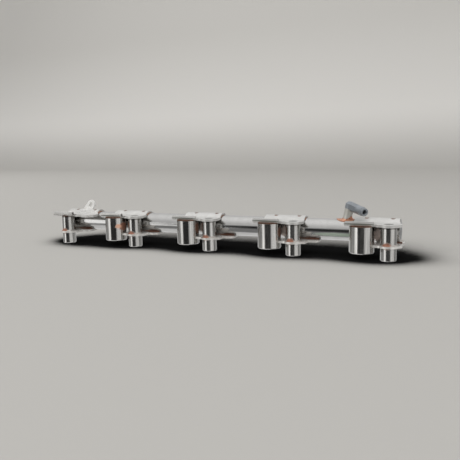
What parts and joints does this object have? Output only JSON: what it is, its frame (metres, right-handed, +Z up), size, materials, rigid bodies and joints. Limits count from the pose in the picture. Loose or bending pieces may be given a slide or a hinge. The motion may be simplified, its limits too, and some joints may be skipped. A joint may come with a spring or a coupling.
{
  "type": "fuel rail",
  "caption": "High-pressure fuel rail: a thick tube brazed to injector cups and bolt sleeves by stamped saddle brackets, with a threaded inlet fitting.",
  "frame": {"origin": "centre of the foot of the middle bolt sleeve, on the mounting plane", "axes": "+X along the rail towards the inlet end, +Y from the bolt line back to the tube, +Z up along the bolts, out of the cylinder head"},
  "size_m": [0.4129, 0.0449, 0.0553],
  "materials": {
    "tube_steel": "satin, blasted, copper stain at the joints",
    "plug_steel": "satin",
    "cup_steel": "turned and polished",
    "sleeve_steel": "turned and polished",
    "stamped_steel": "satin, blasted",
    "lower_steel": "satin, copper stained",
    "post_steel": "satin",
    "fitting_steel": "smooth, blue grey",
    "braze_copper": "dull copper"
  },
  "bodies": {
    "root": {"main_tube": "tube_steel", "end_plug_left": "plug_steel", "end_plug_right": "plug_steel", "injector_cup_1": "cup_steel", "injector_cup_2": "cup_steel", "injector_cup_3": "cup_steel", "injector_cup_4": "cup_steel", "bolt_sleeve_1": "sleeve_steel", "bolt_sleeve_2": "sleeve_steel", "bolt_sleeve_3": "sleeve_steel", "bolt_sleeve_4": "sleeve_steel", "bolt_sleeve_5": "sleeve_steel", "upper_bracket_1": "stamped_steel", "upper_bracket_2": "stamped_steel", "upper_bracket_3": "stamped_steel", "upper_bracket_4": "stamped_steel", "upper_bracket_5": "stamped_steel", "lower_bracket_1": "lower_steel", "lower_bracket_2": "lower_steel", "lower_bracket_3": "lower_steel", "lower_bracket_4": "lower_steel", "lower_bracket_5": "lower_steel", "inlet_post": "post_steel", "inlet_fitting": "fitting_steel", "braze_upper_1": "braze_copper", "braze_upper_2": "braze_copper", "braze_upper_3": "braze_copper", "braze_upper_4": "braze_copper", "braze_upper_5": "braze_copper", "braze_lower_1": "braze_copper", "braze_lower_2": "braze_copper", "braze_lower_3": "braze_copper", "braze_lower_4": "braze_copper", "braze_lower_5": "braze_copper", "braze_inlet": "braze_copper"}
  },
  "joints": []
}
